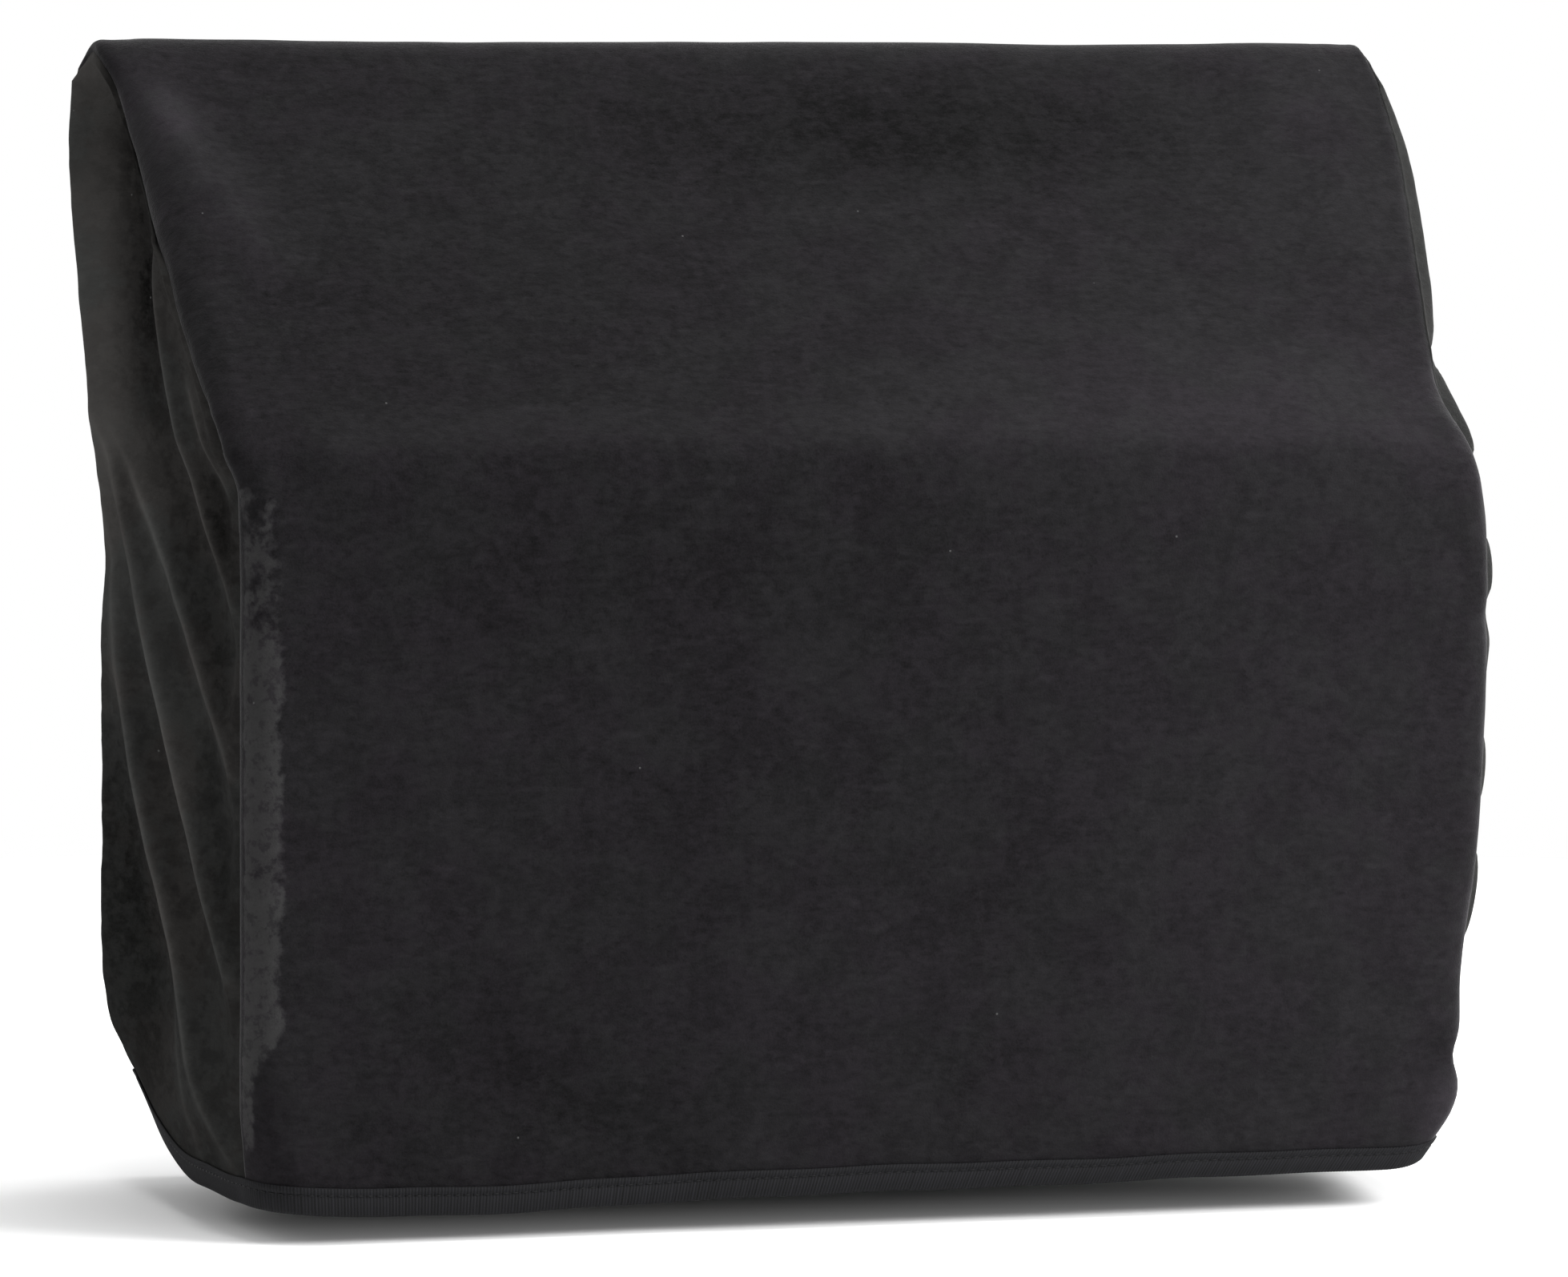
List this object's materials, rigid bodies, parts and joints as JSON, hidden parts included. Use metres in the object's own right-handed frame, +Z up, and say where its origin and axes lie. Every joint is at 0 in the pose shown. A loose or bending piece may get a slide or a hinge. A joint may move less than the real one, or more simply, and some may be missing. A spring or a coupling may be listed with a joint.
{
  "type": "accordion cover",
  "caption": "Fitted velour dust cover for an accordion: a soft hollow hood with a sloping front, gusseted sides in loose folds and a ribbon-bound open hem.",
  "frame": {"origin": "Under the middle of the top ridge, at the inner face of the cloth, where the cover bears on what it is drawn over.", "axes": "+X runs along the width to the right as seen from the front, the front faces -Y and +Z is up."},
  "size_m": [0.5227, 0.2159, 0.4351],
  "materials": {
    "velour": "black short-pile velour, softly mottled, lighter where it is seen edge on",
    "ribbon": "bluish-black ribbed ribbon, matt, with fine ribs across its length"
  },
  "bodies": {
    "root": {"wrap_panel": "velour", "left_side_panel": "velour", "right_side_panel": "velour", "hem_binding": "ribbon"}
  },
  "joints": []
}
